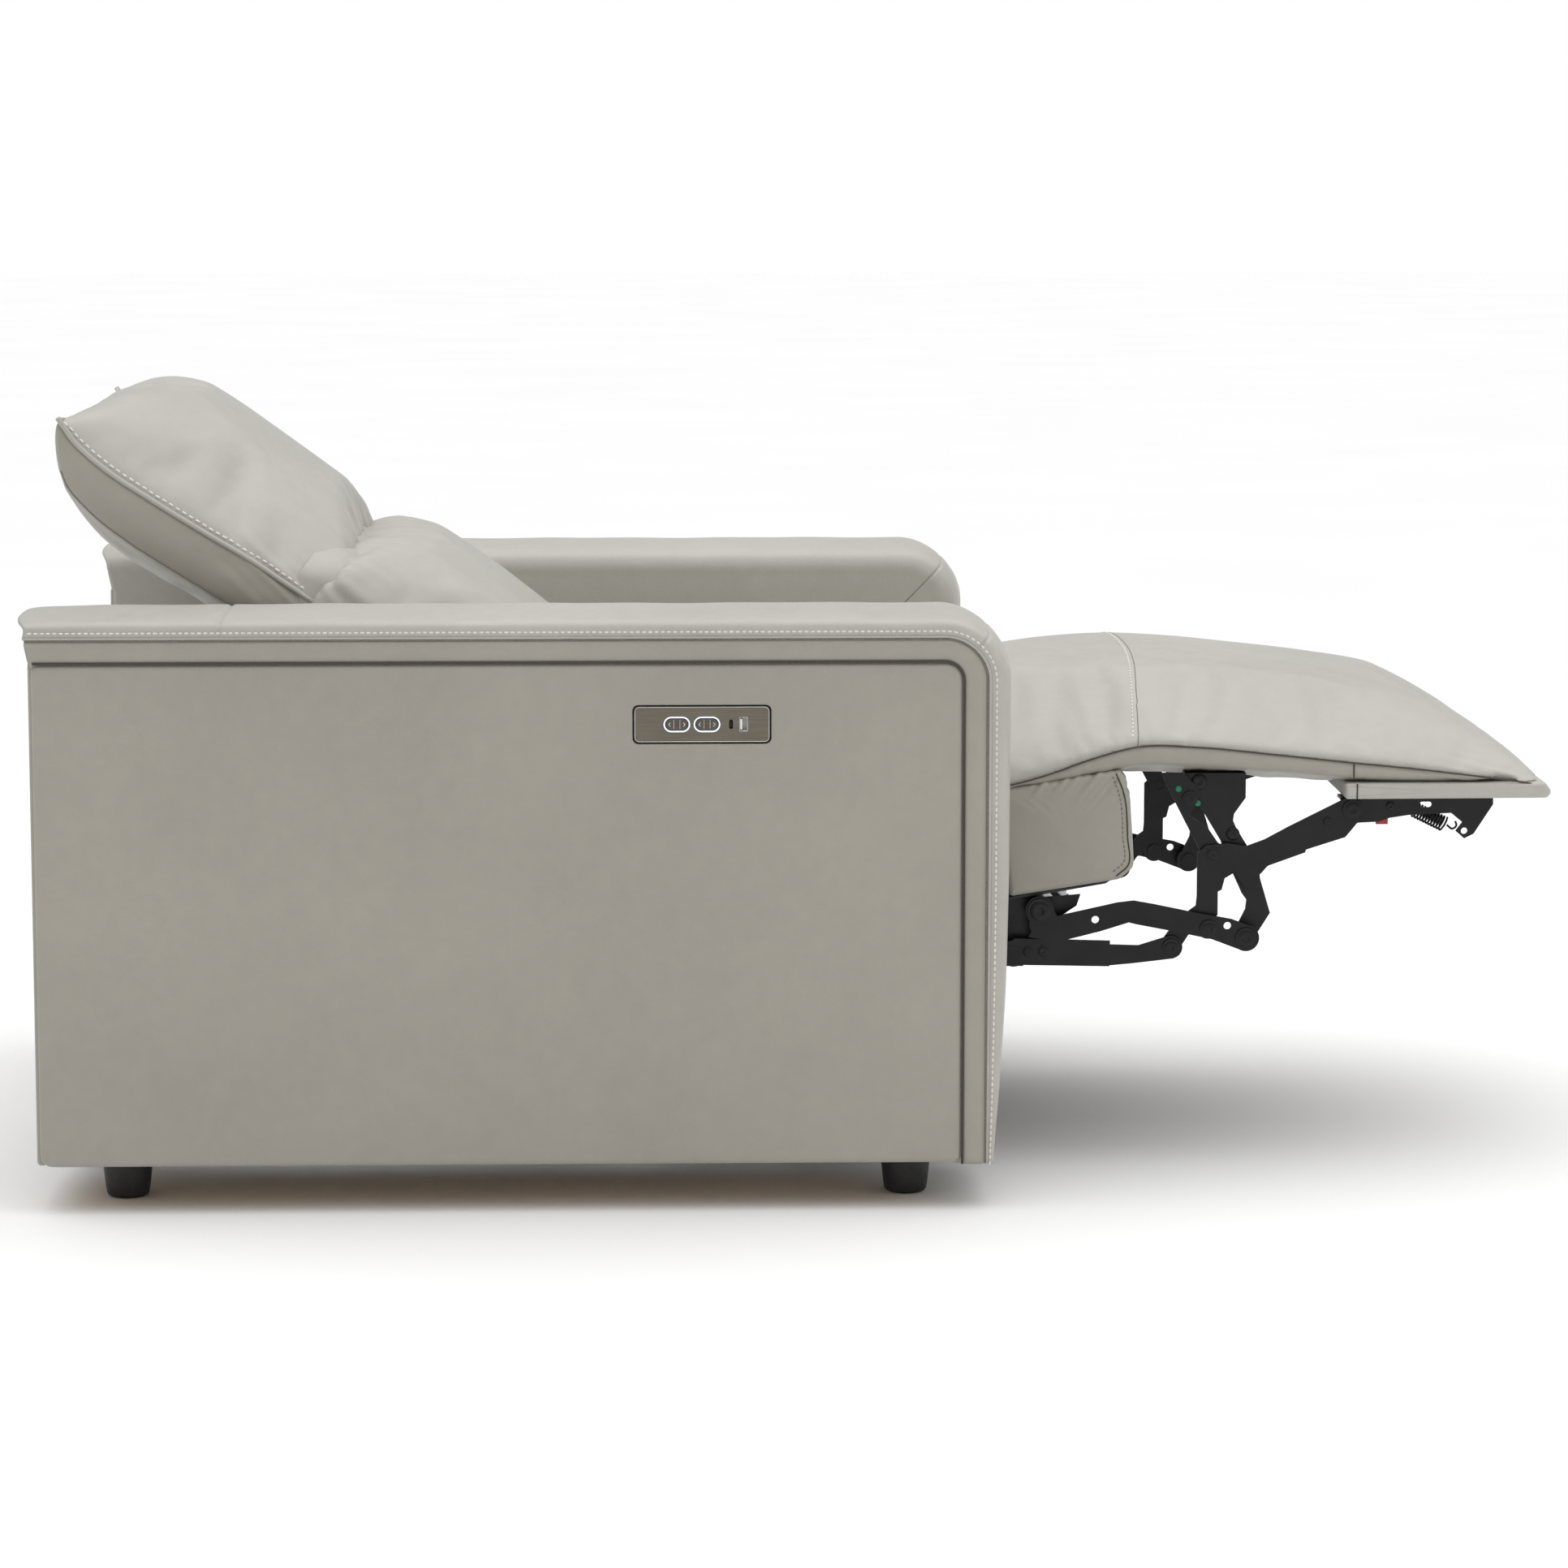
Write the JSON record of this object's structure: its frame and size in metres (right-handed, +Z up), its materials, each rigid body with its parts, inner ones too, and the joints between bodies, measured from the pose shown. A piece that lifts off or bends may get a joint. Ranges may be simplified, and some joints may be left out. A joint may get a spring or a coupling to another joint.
{
  "type": "recliner armchair",
  "caption": "Power recliner armchair with padded arms, a folding footrest on steel links, a reclining back and a tilting headrest.",
  "frame": {"origin": "on the floor, under the middle of the chair's whole length and width, footrest out", "axes": "+X the way the sitter faces, +Y the sitter's left, +Z up"},
  "size_m": [1.5834, 0.98, 0.8161],
  "materials": {
    "black_steel": "satin",
    "bright_steel": "satin",
    "bumper_rubber": "matte",
    "foot_plastic": "matte",
    "frame_wood": "matte",
    "grey_steel": "satin",
    "housing_plastic": "matte",
    "leather_side": "satin",
    "leather_top": "satin",
    "plate_metal": "satin",
    "ring_light": "gloss",
    "rocker_metal": "satin",
    "usb_white": "gloss",
    "webbing": "matte"
  },
  "bodies": {
    "base": {"right_arm_frame": "frame_wood", "left_arm_frame": "frame_wood", "right_outer_panel": "leather_side", "left_outer_panel": "leather_side", "right_arm_pad": "leather_top", "left_arm_pad": "leather_top", "right_inner_panel": "leather_side", "left_inner_panel": "leather_side", "base_rails": "grey_steel", "slide_tracks": "grey_steel", "base_cross_tubes": "grey_steel", "rear_panel": "leather_side", "front_right_foot": "foot_plastic", "rear_right_foot": "foot_plastic", "front_left_foot": "foot_plastic", "rear_left_foot": "foot_plastic", "foot_bolts": "bright_steel", "arm_bolts": "bright_steel", "control_plate": "plate_metal", "switch_housing": "housing_plastic", "usb_a_socket": "usb_white", "usb_c_socket": "housing_plastic", "light_rings": "ring_light", "power_box": "housing_plastic", "power_inlet": "housing_plastic"},
    "recline_rocker_body": {"recline_rocker": "rocker_metal"},
    "headrest_rocker_body": {"headrest_rocker": "rocker_metal"},
    "carriage": {"seat_frame": "grey_steel", "seat_webbing": "webbing", "seat_cushion": "leather_top", "seat_fascia": "leather_side", "carriage_plates": "black_steel", "seat_runners": "grey_steel", "drive_motor": "housing_plastic", "drive_rail": "bright_steel", "carriage_rivets": "black_steel"},
    "drive_block_body": {"drive_block": "bright_steel"},
    "drive_shaft": {"torque_tube": "black_steel", "drive_links": "black_steel", "drive_link_rivets": "black_steel"},
    "lower_link_pair": {"lower_links": "black_steel", "lower_link_rivets": "black_steel"},
    "bellcrank_pair": {"bellcranks": "black_steel", "bellcrank_rivets": "black_steel"},
    "ottoman_link_pair": {"ottoman_links": "black_steel"},
    "control_link_pair": {"control_links": "black_steel"},
    "footrest": {"footrest_board": "frame_wood", "footrest_pad": "leather_top", "footrest_brackets": "black_steel", "footrest_springs": "black_steel", "footrest_bumpers": "bumper_rubber"},
    "backrest": {"back_frame": "grey_steel", "back_webbing": "webbing", "back_cushion": "leather_top", "outside_back": "leather_side", "back_hinge_pins": "bright_steel"},
    "headrest": {"headrest_frame": "frame_wood", "headrest_cushion": "leather_top", "headrest_back": "leather_side", "headrest_motor": "housing_plastic"}
  },
  "joints": [
    {"name": "seat_slide", "type": "slide", "parent": "base", "child": "carriage", "axis": [1, 0, 0], "range_m": [-0.245, 0]},
    {"name": "back_recline", "type": "hinge", "parent": "carriage", "child": "backrest", "pos_m": [-0.14959, 0, 0.42488], "axis": [0, 1, 0], "range_deg": [0, 40]},
    {"name": "headrest_tilt", "type": "hinge", "parent": "backrest", "child": "headrest", "pos_m": [-0.46267, 0, 0.63678], "axis": [0, 1, 0], "range_deg": [0, 35]},
    {"name": "footrest_fold", "type": "hinge", "parent": "carriage", "child": "footrest", "pos_m": [0.40575, 0, 0.44], "axis": [0, 1, 0], "range_deg": [0, 85]},
    {"name": "drive_shaft_turn", "type": "hinge", "parent": "carriage", "child": "drive_shaft", "pos_m": [0.25675, 0, 0.272], "axis": [0, 1, 0], "range_deg": [0, 84.8]},
    {"name": "lower_link_turn", "type": "hinge", "parent": "carriage", "child": "lower_link_pair", "pos_m": [0.22975, 0, 0.226], "axis": [0, 1, 0], "range_deg": [0, 93.9]},
    {"name": "bellcrank_turn", "type": "hinge", "parent": "drive_shaft", "child": "bellcrank_pair", "pos_m": [0.43374, 0, 0.252], "axis": [0, 1, 0], "range_deg": [-102.6, 0]},
    {"name": "ottoman_link_turn", "type": "hinge", "parent": "drive_shaft", "child": "ottoman_link_pair", "pos_m": [0.47275, 0, 0.242], "axis": [0, 1, 0], "range_deg": [-54.8, 0]},
    {"name": "control_link_turn", "type": "hinge", "parent": "bellcrank_pair", "child": "control_link_pair", "pos_m": [0.43874, 0, 0.33], "axis": [0, 1, 0], "range_deg": [0, 87.9]},
    {"name": "drive_block_slide", "type": "slide", "parent": "carriage", "child": "drive_block_body", "axis": [1, 0, 0], "range_m": [-0.06583, 0]},
    {"name": "recline_rocker_press", "type": "hinge", "parent": "base", "child": "recline_rocker_body", "pos_m": [-0.12326, -0.481, 0.494], "axis": [0, 0, 1], "range_deg": [-6, 6], "stiffness_Nm_per_rad": 0.3},
    {"name": "headrest_rocker_press", "type": "hinge", "parent": "base", "child": "headrest_rocker_body", "pos_m": [-0.09326, -0.481, 0.494], "axis": [0, 0, 1], "range_deg": [-6, 6], "stiffness_Nm_per_rad": 0.3}
  ],
  "couplings": [
    {"joint": "back_recline", "follows": "seat_slide", "rad_per_m": -2.849},
    {"joint": "drive_shaft_turn", "follows": "footrest_fold", "ratio": 0.99647},
    {"joint": "lower_link_turn", "follows": "footrest_fold", "ratio": 1.1035},
    {"joint": "bellcrank_turn", "follows": "footrest_fold", "ratio": -1.2059},
    {"joint": "ottoman_link_turn", "follows": "footrest_fold", "ratio": -0.64353},
    {"joint": "control_link_turn", "follows": "footrest_fold", "ratio": 1.0329},
    {"joint": "drive_block_slide", "follows": "footrest_fold", "m_per_rad": -0.044239}
  ]
}
